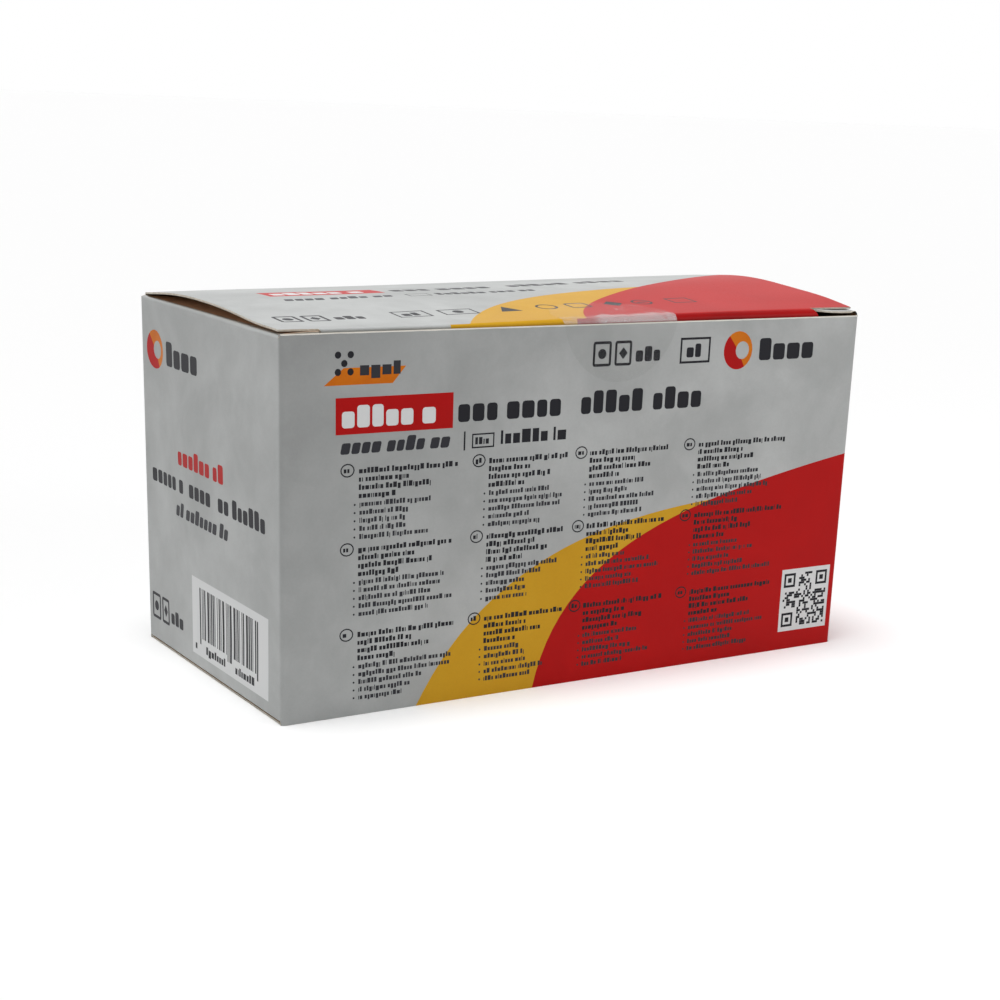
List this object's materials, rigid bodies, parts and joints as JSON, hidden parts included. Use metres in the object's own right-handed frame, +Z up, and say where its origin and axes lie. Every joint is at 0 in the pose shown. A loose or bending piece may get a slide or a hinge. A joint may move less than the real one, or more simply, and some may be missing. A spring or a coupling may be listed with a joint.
{
  "type": "sealed folding carton",
  "caption": "Shut rectangular tuck-end folding carton of printed board, its bowed lid held down at the front fold by a clear round film seal.",
  "frame": {"origin": "middle of the underside's outline, on the surface it stands on", "axes": "+X along the long front panel, away from the end panel with the striped block; +Y from the front panel to the back panel; +Z up through the lid"},
  "size_m": [0.149, 0.0741, 0.0852],
  "materials": {
    "printed_board": "semi-gloss printed face, raw cream edges, brown inside",
    "clear_film": "glossy clear film, slightly wrinkled"
  },
  "bodies": {
    "root": {"carton": "printed_board", "seal_label": "clear_film"}
  },
  "joints": []
}
